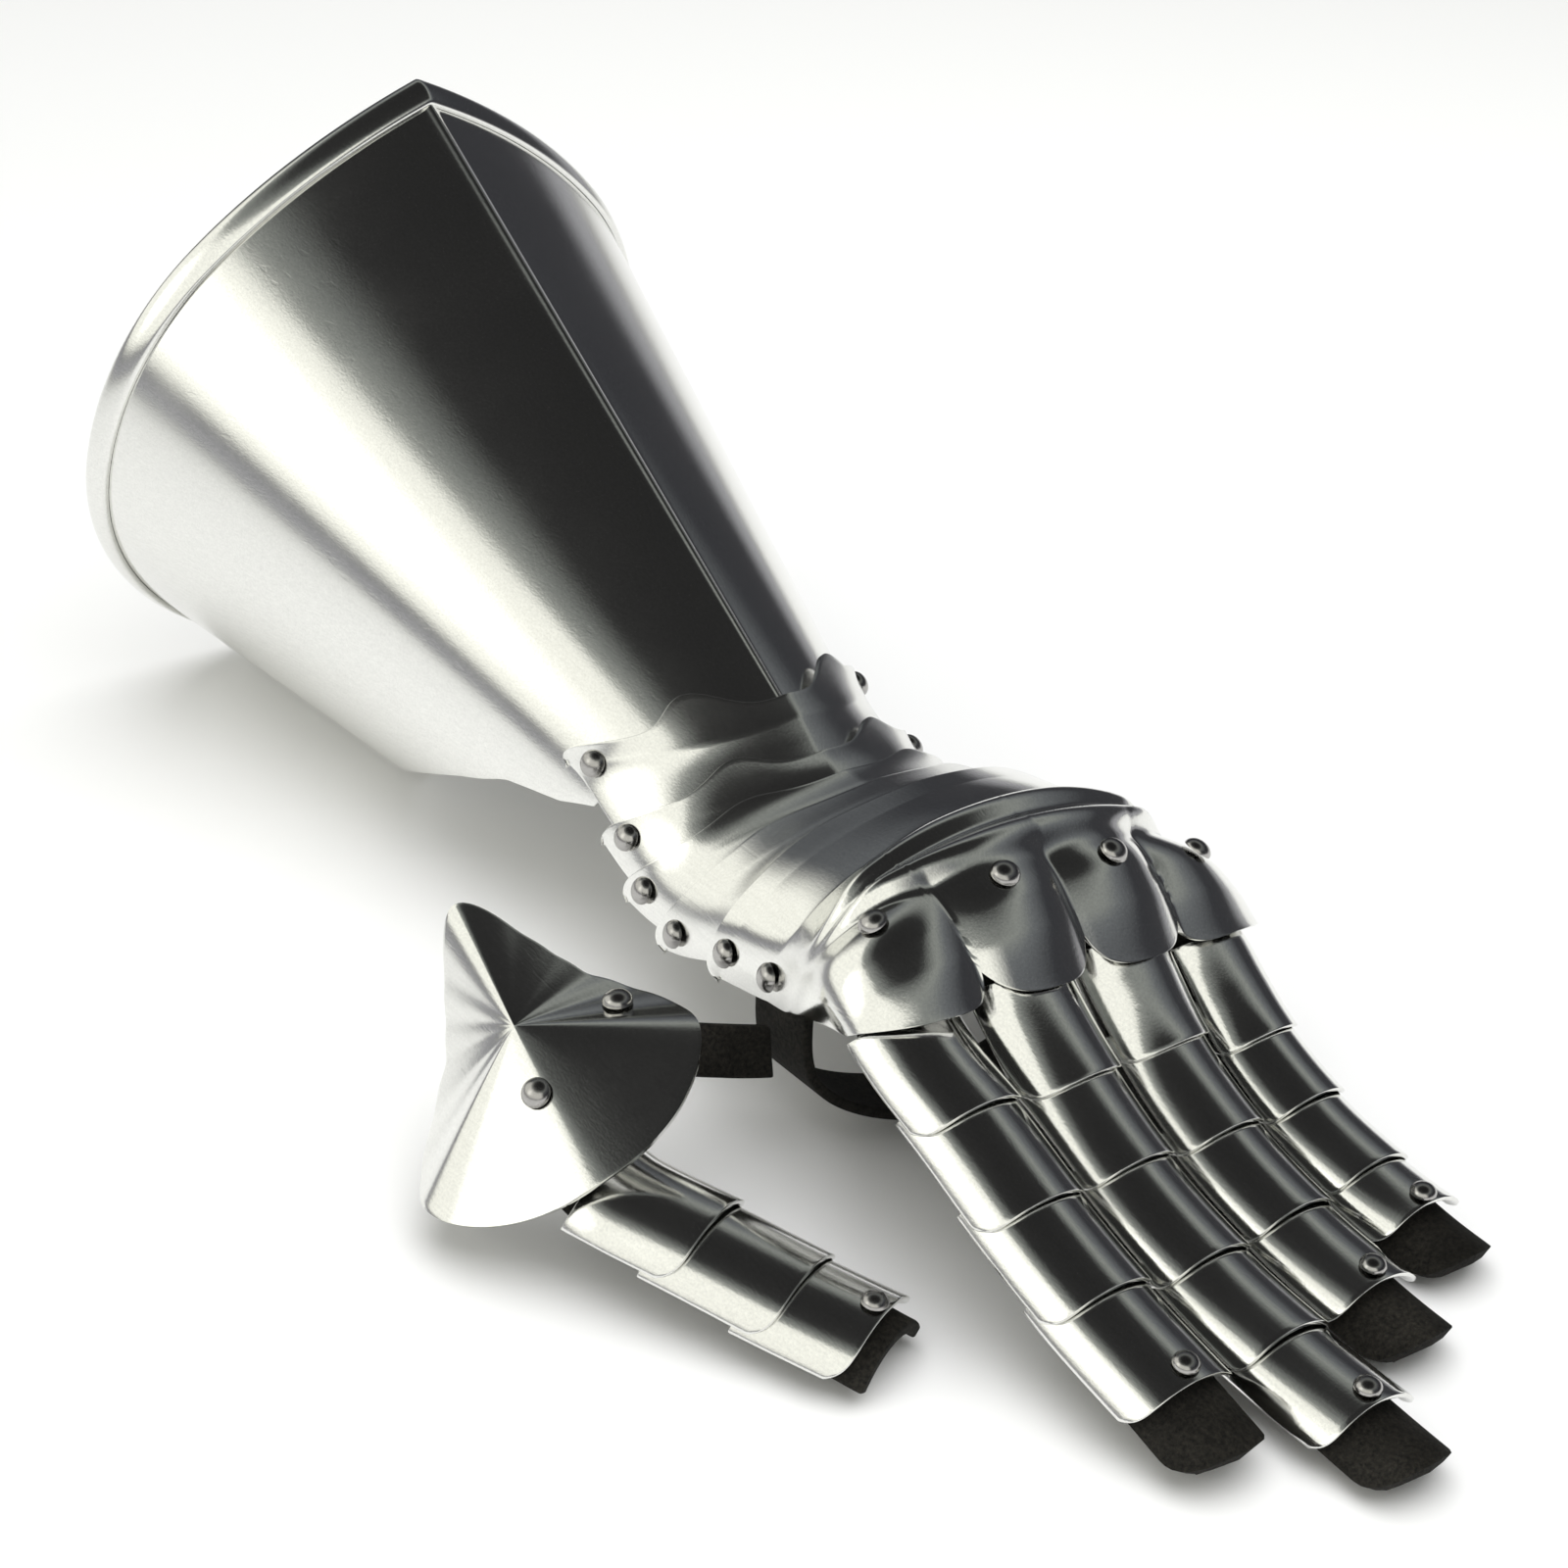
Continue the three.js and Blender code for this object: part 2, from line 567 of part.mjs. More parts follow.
// The thumb strap runs from under the guard's side rivet to the palm strap.
function thumbStrapSurface(u, v) {
  const seat = guardPlace(SIDE_RIVET);
  const under = guardSurface(...seat).addScaledVector(normalOf(guardSurface, ...seat), -PLATE - REST);
  const start = under.clone().addScaledVector(GUARD_ACROSS, -7);
  const bend = start.clone().lerp(THUMB_STRAP.end, 0.5).add(THUMB_STRAP.sag);
  const centre = new THREE.QuadraticBezierCurve3(start, bend, THUMB_STRAP.end).getPoint(v);
  const edge = GUARD_FORWARD.clone().lerp(new THREE.Vector3(0.2, 0, -1), v).normalize();
  return centre.addScaledVector(edge, (u - 0.5) * THUMB_STRAP.width);
}

// ---- Assembly ----

const PLATES = ['cuff', ...LAMES.map(({ row }) => `wrist_lame_${row}`), 'hand_plate'];

// A pair of rivets through the arches at a row, standing a number of laps over them.
function addWristRivets(row, laps, stack, through) {
  for (const [side, name] of [[-1, 'thumb_side'], [1, 'little_side']]) {
    const angle = side * archAt(row).turn;
    const base = (u, v) => archPoint(row + u - 0.5, angle + (v - 0.5) * 0.2);
    const surface = lifted(base, () => LAP * laps);
    addRivet(`rivet_wrist_${row}_${name}`, surface, [0.5, 0.5], WRIST_RIVET, stack, through);
  }
}

// A rivet in the hand plate over each finger's leather.
function addKnuckleRivet({ name, row, y }) {
  const { half, turn } = archAt(row);
  const angle = Math.asin((y * Math.sin(turn)) / half);
  const base = (u, v) => archPoint(row + u - 0.5, angle + (v - 0.5) * 0.2);
  const surface = lifted(base, (u, v) => KNUCKLE_RISE + handRelief(row + u - 0.5, base(u, v).y));
  const through = ['hand_plate', `${name}_leather`];
  addRivet(`rivet_${name}_knuckle`, surface, [0.5, 0.5], WRIST_RIVET, KNUCKLE_STACK, through);
}

addPiece('cuff', cuffGeometry(40, 3), steel);
for (const lame of LAMES) {
  addPiece(PLATES[lame.row], wallGeometry(lameSurface(lame), PLATE, LAME_ROWS, 16), steel);
}
addPiece('hand_plate', wallGeometry(handSurface(), PLATE, HAND_ROWS, 30), steel);
addPiece('palm_strap', wallGeometry(palmStrapSurface, PALM_STRAP.wall, even(1), 19), leather);
addPiece('thumb_guard', wallGeometry(guardSurface, PLATE, even(3), 32, true), steel);
addPiece('thumb_strap', wallGeometry(thumbStrapSurface, THUMB_STRAP.wall, even(1), 8), leather);
for (const digit of [...FINGERS, THUMB]) addDigit(digit);
for (const finger of FINGERS) addKnuckleRivet(finger);

for (let row = 1; row <= HAND.row; row++) {
  addWristRivets(row, 1, 2 * PLATE + SLIDE, [PLATES[row - 1], PLATES[row]]);
}
addWristRivets(STRAP_RIVET_ROW, 0, STRAP_STACK, ['hand_plate', 'palm_strap']);
addRivet(
  'rivet_guard_front', guardSurface, guardPlace(FRONT_RIVET), WRIST_RIVET, FRONT_RIVET.stack,
  ['thumb_guard', 'thumb_leather'],
);
addRivet(
  'rivet_guard_side', guardSurface, guardPlace(SIDE_RIVET), WRIST_RIVET, SIDE_RIVET.stack,
  ['thumb_guard', 'thumb_strap'],
);

for (const [name, { solid, material }] of pieces) addMesh(name, geometryOf(solid), material);

// The origin is the middle of the bounding box, on the surface that the gauntlet lies on.
const box = new THREE.Box3().setFromObject(gauntlet);
const middle = box.getCenter(new THREE.Vector3());
gauntlet.position.set(-middle.x, -middle.y, -box.min.z);

export default gauntlet;
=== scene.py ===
# An armoured gauntlet for the left hand: polished steel plates, domed rivets and black leather.
# Lengths are millimetres in the tables and metres in Blender.
import json
import math

import bpy
import numpy as np
from mathutils import Matrix, Vector


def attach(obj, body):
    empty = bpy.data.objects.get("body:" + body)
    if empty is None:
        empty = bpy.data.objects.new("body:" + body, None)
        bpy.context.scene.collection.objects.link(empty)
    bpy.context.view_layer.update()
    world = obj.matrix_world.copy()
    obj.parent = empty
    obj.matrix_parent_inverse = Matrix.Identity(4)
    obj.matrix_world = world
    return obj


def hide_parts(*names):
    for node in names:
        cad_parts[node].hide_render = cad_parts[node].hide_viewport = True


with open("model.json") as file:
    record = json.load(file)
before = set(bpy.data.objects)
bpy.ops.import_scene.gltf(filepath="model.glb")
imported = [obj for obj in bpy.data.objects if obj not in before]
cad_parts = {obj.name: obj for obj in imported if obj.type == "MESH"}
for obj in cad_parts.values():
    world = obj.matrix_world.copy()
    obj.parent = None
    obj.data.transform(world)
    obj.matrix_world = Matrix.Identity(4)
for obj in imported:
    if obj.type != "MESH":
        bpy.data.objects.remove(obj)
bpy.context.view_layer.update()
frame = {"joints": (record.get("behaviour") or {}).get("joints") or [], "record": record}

MM = 0.001

# Walls and gaps
PLATE = 1.2
SCALE = 1.0
HIDE = 3.0  # leather strips
SLIDE = 1.0  # between plates that slide over one another
LAP = PLATE + SLIDE
REST = 0.6  # between pieces that are riveted flat
SHINGLE = SCALE + 0.85  # rise from one scale to the next

# How far the edges are rounded
PLATE_EDGE = 0.3
SCALE_EDGE = 0.25
HIDE_EDGE = 0.7
STRAP_EDGE = 0.6

# Cuff: a cone between two sections, each flattened below and keeled on top
RIM = {"x": -191.5, "z": 75, "half": 82.5, "top": 85, "bottom": 73.5, "lean": 0.27, "keel": 14.7}
WRIST = {"x": -16.7, "z": 25, "half": 40.5, "top": 42, "bottom": 31, "lean": 0.31, "keel": 2.7}
KEEL_SPREAD = 0.8
KEEL_CROWDING = 1.5  # columns lie closer together by the keel
KEEL_BEAD = {"height": 0.5, "spread": 0.016}
CUFF_LENGTH = 182
CUFF_REACH = [  # angle from the crest, share of the length
    (0, 1.03), (30, 1.0), (58, 0.962), (70, 0.957), (77, 0.91), (84, 0.825), (96, 0.753),
    (107, 0.694), (125, 0.6), (150, 0.5), (180, 0.47),
]
ROLL = [  # from the edge, above the cone: over the rolled rim and in under it
    (8.5, 0.1), (8.45, 0.75), (8.1, 1.25), (7.4, 1.6), (5.6, 1.95), (3.6, 2.0), (1.8, 1.65),
    (0.5, 0.8), (0.0, -0.4), (0.5, -1.6), (1.8, -2.4), (3.8, -2.6), (6.4, -2.4), (8.4, -1.9), (9.5, -1.3),
]

CUFF_STRETCHES = (0.3, 0.6, 0.7)  # where the roll, the inner wall and the wrist edge end, of the skin's rows

# Arches of the wrist and hand. Row 0 lies on the cuff, rows 1 to 5 are the hinges, row 10 is the finger edge.
ARCH_KEYS = ("crest_x", "crest_z", "side_x", "side_z", "half", "turn", "tab", "keel")
ARCHES = [
    (-14, 70.6, -38.9, 58.3, 41.8, 58, 6, 3.4),
    (4, 61.4, -22, 51, 37, 58, 7, 2.4),
    (18, 54.5, -3, 41, 40, 68, 10, 1.6),
    (30, 56.5, 9, 34, 43, 78, 9, 1.1),
    (43, 62, 26, 32.5, 46, 84, 9, 0.7),
    (56, 67.5, 48, 40, 48.5, 84, 12, 0.3),
    (68, 71.5, 63, 41.5, 50.5, 86, 12, 0),
    (80, 73, 75, 42, 54, 88, 8, 0),
    (91, 69.5, 85, 43.5, 56.5, 88, 4, 0),
    (101, 61, 94, 44, 57, 86, 0, 0),
    (109, 51, 101, 43, 56, 80, -4, 0),
]
HAND_ROLL = {"slope": 0.08, "start": 5, "end": 8}
LAMES = {1: 7.5, 2: 6, 3: 4.5, 4: 3}  # row of the hinge: how far its wave stands back
LAME_FRONT = {"crest": 0.5, "side": 5, "start": 0.55, "end": 0.85}  # how far it goes past the next hinge
HAND_ROW = 5
HAND_HUMP = 2
EDGE_REACH = 6
HINGE_SHARE = 0.2
FRONT_TUCK = 0.14
HUMP_AT = 0.42
HUMP_SPREAD = 0.17
FLARE = {"height": 1.0, "reach": 0.42}  # the back edge of a plate stands a little off
DOME = {"height": 3.9, "radius": 14.8, "crease": 0.01, "start": 7.0, "end": 8.5}
RIDGE = {
    "row": 6.95, "height": 5.0, "width": 0.72, "flute": 2.6, "flute_width": 0.34,
    "start": 34, "end": 51, "narrow": 0.62, "narrow_start": 14, "narrow_end": 52,
}
LOBE = {"valley": 9.15, "reach": 0.9, "radius": 14.6}
OUTER_SIDE = 0.6  # share of its width that counts beyond the little finger

# Digits: crest of the leather as (x, z), where each scale ends, and how far the start leans, degrees
DIGITS = {
    "index": {
        "y": -42.5, "tip_y": -43, "width": 28, "row": 7.8, "lean": -27, "ends": (124, 145, 166, 190),
        "crest": ((79, 61.8), (86, 62.8), (93, 60), (100, 53.5), (109, 47.4), (124, 40.5), (145, 30),
                  (166, 21.5), (190, 14.5), (205, 10.5)),
    },
    "middle": {
        "y": -14, "tip_y": -14.5, "width": 27, "row": 8.1, "lean": -4, "ends": (124, 142, 166, 189, 212),
        "crest": ((83, 70.8), (91, 69.2), (99, 62), (110, 49.6), (124, 37.5), (142, 26.5), (166, 18),
                  (189, 13.5), (212, 11), (227, 10)),
    },
    "ring": {
        "y": 15, "tip_y": 14.5, "width": 27, "row": 8.2, "lean": 12, "ends": (121, 140, 162, 186),
        "crest": ((83, 68.4), (91, 66.8), (99, 59.6), (109, 47), (121, 34), (140, 22.5), (162, 15),
                  (186, 11), (201, 10)),
    },
    "little": {
        "y": 43, "tip_y": 42.5, "width": 25.5, "row": 8.2, "lean": 34, "ends": (122, 138, 158, 173),
        "crest": ((82, 55.6), (90, 55.2), (97, 49.7), (104, 42.5), (112, 34.6), (122, 26.6), (138, 18.5),
                  (158, 13), (173, 10.5), (187, 9.6)),
    },
    "thumb": {
        "y": -111.3, "tip_y": -76.5, "width": 30, "row": 0, "lean": -34, "ends": (103, 123, 139),
        "crest": ((58, 32.4), (66, 29.6), (75, 26.1), (86, 22.6), (103, 19), (123, 14.7), (139, 11.7),
                  (142, 11.3)),
    },
}
FINGER_Y = [digit["y"] for name, digit in DIGITS.items() if name != "thumb"]
SCALE_LAP = 8
FIRST_SCALE = 26  # length of the first one
SCALE_TURN = 68  # how far a scale goes down each side, degrees
SCALE_CORNER = 4
HIDE_TURN = 60  # the same of the leather, and at its start under the plate
HIDE_START = 38
HIDE_FULL = 30  # where the leather has its full width, from its start
LEAN_LENGTH = 32
TONGUE_ROUND = 9
TIP_RIVET = 0.88  # place of the tip rivet along the last scale

# Thumb guard: its outline and its fall, seen from the boss, from the front round to the spike
GUARD_PLACE = np.array((49.1, -106.5, 42.3))
GUARD_FORWARD = np.array((0.935, -0.144, -0.324))
GUARD_UP = np.array((0.176, -0.604, 0.777))
GUARD = [  # angle, reach on the thumb side, reach on the hand side, fall
    (0, 40.5, 40.5, 3), (30, 41.5, 41, 5), (50, 42, 40, 6.5), (62, 41, 38, 8.5), (72, 36, 32, 12.5),
    (90, 26, 23.5, 13), (115, 20, 18.5, 11), (140, 21.5, 20, 9), (160, 26.5, 25, 6.5), (172, 33.5, 33, 4),
    (180, 38, 38, 2),
]
GUARD_HOLLOW = 1.15
FRONT_RIVET = (0.4, -8)  # share of the reach, angle
SIDE_RIVET = (0.72, 80)

# Straps
PALM_STRAP = {
    "x": 63, "forward": 13, "width": 18, "half": 47.4, "top": 42, "bottom": 4, "square": 0.4, "wall": 2.5,
}
THUMB_STRAP = {
    "width": 12, "wall": 2.5, "past_rivet": 7,
    "end": (66, -51, 25), "end_edge": (0.2, 0, -1), "sag": (0, 0, -3),
}

# Rivets: radius and height of the head
WRIST_RIVET = (3.3, 2.4)
SMALL_RIVET = (2.9, 2.1)
HEAD_STAND = 0.55  # of a head's flat underside over the sheet's face
STRAP_ROW = 6

RECORD = frame["record"]
BODY_OF = {node: body for body, nodes in RECORD["behaviour"]["bodies"].items() for node in nodes}

# The tables' origin in the frame, from the first hinge
FIRST_HINGE = frame["joints"][0]["pos_m"]
ORIGIN = np.array(FIRST_HINGE) / MM - np.array((ARCHES[1][2], 0, ARCHES[1][3]))


# ---- Tables and surfaces ----

def smooth(value, start, end):
    t = np.clip((value - start) / (end - start), 0, 1)
    return t * t * (3 - 2 * t)


def column(values, row):
    """A table's column at fractional rows, smooth through the rows."""
    values = np.asarray(values, float)
    k = np.clip(np.floor(row).astype(int), 0, len(values) - 2)
    t = row - k
    a, b, c, d = (values[np.clip(k + i, 0, len(values) - 1)] for i in (-1, 0, 1, 2))
    return b + 0.5 * t * (c - a + t * (2 * a - 5 * b + 4 * c - d + t * (3 * (b - c) + d - a)))


def vectors(x, y, z):
    return np.stack(np.broadcast_arrays(x, y, z), axis=-1)


def unit(v):
    return v / np.linalg.norm(v, axis=-1, keepdims=True)


def normal_of(surface, u, v):
    step = 1e-3
    u = np.clip(u, step, 1 - step)
    along_u = surface(u + step, v) - surface(u - step, v)
    along_v = surface(u, v + step) - surface(u, v - step)
    return unit(np.cross(along_u, along_v))


def keel_at(angle):
    return np.maximum(0, 1 - np.abs(angle) / KEEL_SPREAD) ** 2


def cuff_section(s, angle):
    fall = np.cos(angle)
    rise = fall * np.where(fall > 0, s["top"], s["bottom"]) + s["keel"] * keel_at(angle)
    x = s["x"] + math.sin(s["lean"]) * rise
    return vectors(x, s["half"] * np.sin(angle), s["z"] + math.cos(s["lean"]) * rise)


def cuff_point(share, angle):
    return cuff_section(RIM, angle) * (1 - share)[..., None] + cuff_section(WRIST, angle) * share[..., None]


def arch_at(row):
    arch = {key: column([r[i] for r in ARCHES], row) for i, key in enumerate(ARCH_KEYS)}
    arch["edge"] = np.radians(arch["turn"] + arch["tab"])
    arch["turn"] = np.radians(arch["turn"])
    return arch


def arch_point(row, angle):
    """A point of the arches: row counts along the hand, angle goes over it from the crest."""
    row, angle = np.broadcast_arrays(np.asarray(row, float), angle)
    a = arch_at(row)
    fall = (1 - np.cos(angle)) / (1 - np.cos(a["turn"]))
    y = a["half"] * np.sin(angle) / np.sin(a["turn"])
    z = a["crest_z"] + (a["side_z"] - a["crest_z"]) * fall + a["keel"] * keel_at(angle)
    x = a["crest_x"] + (a["side_x"] - a["crest_x"]) * fall
    roll = HAND_ROLL["slope"] * smooth(row, HAND_ROLL["start"], HAND_ROLL["end"])
    return vectors(x, y, z - roll * y)


def arch_normal(row, angle):
    step = 1e-3
    along_row = arch_point(row + step, angle) - arch_point(row - step, angle)
    return unit(np.cross(along_row, arch_point(row, angle + step) - arch_point(row, angle - step)))


def pitch_at(row, angle):
    return np.linalg.norm(arch_point(row, angle) - arch_point(row - 1, angle), axis=-1)


def plate_surface(hinge_row, hump, front_row, relief=None, tuck=0.0):
    """A plate between its wavy back edge and its front edge, standing over the plate before it."""
    arch = arch_at(np.array(float(hinge_row)))
    edge, turn = float(arch["edge"]), float(arch["turn"])

    def place(u, v):
        side = 2 * v - 1
        share = np.abs(side) * edge / turn
        bell = np.exp(-((share - HUMP_AT) / HUMP_SPREAD) ** 2)
        tab = np.sqrt(1 - np.clip((share - 1) / (edge / turn - 1), 0, 1) ** 2)
        back = hinge_row - tab * (EDGE_REACH + hump * bell) / pitch_at(hinge_row, share * turn)
        to_hinge = np.minimum(u / HINGE_SHARE, 1)
        past = np.maximum(0, (u - HINGE_SHARE) / (1 - HINGE_SHARE))
        row = back + (hinge_row - back) * to_hinge + (front_row(share, side) - hinge_row) * past
        return row, side * (arch_at(row)["edge"] - tuck * u * u)

    def surface(u, v):
        row, angle = place(u, v)
        point = arch_point(row, angle)
        height = LAP * np.clip(hinge_row + 1 - row, 0, 1 if hinge_row == 1 else 2)
        height = height + FLARE["height"] * (1 - np.clip(u / FLARE["reach"], 0, 1)) ** 2
        if relief:
            height = height + relief(row, point[..., 1])
        return point + arch_normal(row, angle) * height[..., None]

    return surface


def lame_surface(row, hump):
    turn = float(arch_at(np.array(float(row + 1)))["turn"])

    def front_row(share, side):
        beside = smooth(share, LAME_FRONT["start"], LAME_FRONT["end"])
        reach = LAME_FRONT["crest"] + LAME_FRONT["side"] * beside
        return row + 1 + reach / pitch_at(row + 1, share * turn)

    return plate_surface(row, hump, front_row, tuck=FRONT_TUCK)


def from_finger(y):
    """How far a place across the hand is from the nearest finger."""
    near = np.min([np.abs(y - finger) for finger in FINGER_Y], axis=0)
    return np.where(y > FINGER_Y[-1], OUTER_SIDE * near, near)


def hand_relief(row, y):
    """Height of the domes over the knuckles and of the fluted ridge behind them."""
    rounded = 1 - (from_finger(y) / DOME["radius"]) ** 2
    above = 0.5 * (rounded + np.sqrt(rounded ** 2 + DOME["crease"]))
    dome = DOME["height"] * above * smooth(row, DOME["start"], DOME["end"])
    narrow = RIDGE["narrow"] * smooth(np.abs(y), RIDGE["narrow_start"], RIDGE["narrow_end"])
    across = (row - RIDGE["row"]) / (RIDGE["width"] * (1 - narrow))
    flute = RIDGE["flute"] * np.exp(-((across / RIDGE["flute_width"]) ** 2))
    ridge = np.maximum(0, RIDGE["height"] * np.exp(-(across ** 4)) - flute)
    return dome + ridge * (1 - smooth(np.abs(y), RIDGE["start"], RIDGE["end"]))


def hand_surface():
    edge = float(arch_at(np.array(LOBE["valley"]))["edge"])

    def front_row(share, side):
        y = arch_point(LOBE["valley"], side * edge)[..., 1]
        lobe = np.sqrt(np.maximum(0, 1 - (from_finger(y) / LOBE["radius"]) ** 2))
        return LOBE["valley"] + LOBE["reach"] * lobe

    return plate_surface(HAND_ROW, HAND_HUMP, front_row, hand_relief)


class Line:
    """The crest line of a digit's leather, by its length."""

    def __init__(self, crest, y, tip_y, lean, **_):
        self.lean = lean
        start_x, tip_x = crest[0][0], crest[-1][0]
        knots = [Vector((x, y + (tip_y - y) * (x - start_x) / (tip_x - start_x), z)) for x, z in crest]
        points = centripetal(knots, 24)
        steps = np.linalg.norm(np.diff(points, axis=0), axis=1)
        self.reach = np.concatenate([[0], np.cumsum(steps)])
        self.points = points
        self.length = self.reach[-1]

    def at(self, share):
        reach = np.clip(share, 0, 1) * self.length
        return np.stack([np.interp(reach, self.reach, self.points[:, k]) for k in range(3)], axis=-1)

    def tangent(self, share):
        step = 0.01
        share = np.clip(share, step, 1 - step)
        return unit(self.at(share + step) - self.at(share - step))

    def share_at_x(self, x):
        return float(np.interp(x, self.points[:, 0], self.reach)) / self.length


def centripetal(knots, steps):
    """A smooth curve through the knots that doesn't overshoot where they are close."""
    knots = [2 * knots[0] - knots[1], *knots, 2 * knots[-1] - knots[-2]]
    points = []
    for a, b, c, d in zip(knots, knots[1:], knots[2:], knots[3:]):
        t0, t1 = 0.0, (b - a).length ** 0.5
        t2 = t1 + (c - b).length ** 0.5
        t3 = t2 + (d - c).length ** 0.5
        for i in range(steps):
            t = t1 + (t2 - t1) * i / steps
            ab = a * ((t1 - t) / (t1 - t0)) + b * ((t - t0) / (t1 - t0))
            bc = b * ((t2 - t) / (t2 - t1)) + c * ((t - t1) / (t2 - t1))
            cd = c * ((t3 - t) / (t3 - t2)) + d * ((t - t2) / (t3 - t2))
            abc = ab * ((t2 - t) / (t2 - t0)) + bc * ((t - t0) / (t2 - t0))
            bcd = bc * ((t3 - t) / (t3 - t1)) + cd * ((t - t1) / (t3 - t1))
            points.append(abc * ((t2 - t) / (t2 - t1)) + bcd * ((t - t1) / (t2 - t1)))
    points.append(knots[-2])
    return np.array([tuple(p) for p in points])


def arc_point(line, share, depth, rise, radius, angle):
    """A point of an arc across a digit, about a centre that lies by depth under its crest line."""
    along = line.tangent(share)
    level = unit(np.cross(np.array((0.0, 0.0, 1.0)), along))
    upright = np.cross(along, level)
    lean = math.radians(line.lean) * (1 - smooth(share * line.length, 0, LEAN_LENGTH))[..., None]
    across = level * np.cos(lean) - upright * np.sin(lean)
    up = upright * np.cos(lean) + level * np.sin(lean)
    height = rise - depth + radius * np.cos(angle)
    return line.at(share) + up * height[..., None] + across * (radius * np.sin(angle))[..., None]


def scale_radius(digit):
    return digit["width"] / 2 / math.sin(math.radians(SCALE_TURN))


def hide_radius(digit):
    return scale_radius(digit) - SCALE - REST


def scale_surface(digit, line, k):
    """Each scale covers the start of the next one, so it rises by one shingle along its visible length."""
    lap = SCALE_LAP / line.length
    end = line.share_at_x(digit["ends"][k])
    before = line.share_at_x(digit["ends"][k - 1]) if k else end - FIRST_SCALE / line.length + lap
    start = before - lap

    def surface(u, v):
        side = 2 * v - 1
        corner = SCALE_CORNER * np.abs(side) ** 8 / line.length
        share = start + (end - start) * u - corner * smooth(u, 0.5, 1)
        rise = SHINGLE * (share - start) / (end - before)
        angle = side * math.radians(SCALE_TURN)
        return arc_point(line, share, hide_radius(digit), rise, scale_radius(digit), angle)

    return surface


def hide_surface(name, digit, line):
    radius = hide_radius(digit)

    def surface(u, v):
        to_end = (1 - u) * line.length
        rounded = np.sqrt(1 - np.clip(1 - to_end / TONGUE_ROUND, 0, 1) ** 2)
        full = HIDE_START + (HIDE_TURN - HIDE_START) * smooth(u * line.length, 0, HIDE_FULL)
        turn = np.radians(full) * (1 if name == "thumb" else rounded)
        return arc_point(line, u, radius, np.zeros_like(u), radius, (2 * v - 1) * turn)

    return surface


GUARD_ACROSS = unit(np.cross(GUARD_UP, GUARD_FORWARD))


def round_table(near, far, spread):
    """Values all the way round the guard, one a degree, with their corners eased."""
    angles = [row[0] for row in GUARD]
    turn = np.arange(-180, 180)
    values = np.where(turn < 0, np.interp(np.abs(turn), angles, near), np.interp(np.abs(turn), angles, far))
    steps = np.arange(-30, 31)
    weight = np.exp(-((steps / spread) ** 2))
    eased = np.convolve(np.tile(values, 3), weight / weight.sum(), "same")[360:720]
    return np.append(turn, 180), np.append(eased, eased[0])


_, GUARD_NEAR, GUARD_FAR, GUARD_FALL = zip(*GUARD)
GUARD_REACHES = round_table(GUARD_NEAR, GUARD_FAR, spread=6)
GUARD_FALLS = round_table(GUARD_FALL, GUARD_FALL, spread=4)


def guard_surface(u, v):
    angle = (2 * v - 1) * math.pi
    reach = u * np.interp(np.degrees(angle), *GUARD_REACHES)
    fall = u ** GUARD_HOLLOW * np.interp(np.degrees(angle), *GUARD_FALLS)
    return (GUARD_PLACE - fall[..., None] * GUARD_UP + (reach * np.cos(angle))[..., None] * GUARD_FORWARD
            + (reach * np.sin(angle))[..., None] * GUARD_ACROSS)


def guard_place(share, angle):
    return share, (angle / 180 + 1) / 2


def palm_strap_surface(u, v):
    s = PALM_STRAP
    angle = math.pi * v
    sag = np.sign(np.sin(angle)) * np.abs(np.sin(angle)) ** s["square"]
    x = s["x"] + s["forward"] * np.sin(angle) ** 2 + (u - 0.5) * s["width"]
    return vectors(x, s["half"] * np.cos(angle), s["top"] - (s["top"] - s["bottom"]) * sag)


def thumb_strap_surface(u, v):
    seat = [np.array(part) for part in guard_place(*SIDE_RIVET)]
    under = guard_surface(*seat) - normal_of(guard_surface, *seat) * (PLATE + REST)
    start = under - THUMB_STRAP["past_rivet"] * GUARD_ACROSS
    end = np.array(THUMB_STRAP["end"], float)
    bend = (start + end) / 2 + np.array(THUMB_STRAP["sag"])
    t = v[..., None]
    centre = start * (1 - t) ** 2 + bend * 2 * t * (1 - t) + end * t ** 2
    edge = unit(GUARD_FORWARD * (1 - t) + np.array(THUMB_STRAP["end_edge"]) * t)
    return centre + edge * ((u - 0.5) * THUMB_STRAP["width"])[..., None]


# ---- Making pieces ----

def clear_selection():
    if bpy.context.object and bpy.context.object.mode != "OBJECT":
        bpy.ops.object.mode_set(mode="OBJECT")
    bpy.ops.object.select_all(action="DESELECT")


def apply_modifier(piece, kind, **settings):
    clear_selection()
    piece.select_set(True)
    bpy.context.view_layer.objects.active = piece
    modifier = piece.modifiers.new(kind.title(), kind)
    for key, value in settings.items():
        setattr(modifier, key, value)
    bpy.ops.object.modifier_apply(modifier=modifier.name)


def smooth_faces(piece, degrees=32):
    clear_selection()
    piece.select_set(True)
    bpy.context.view_layer.objects.active = piece
    bpy.ops.object.shade_smooth_by_angle(angle=math.radians(degrees))


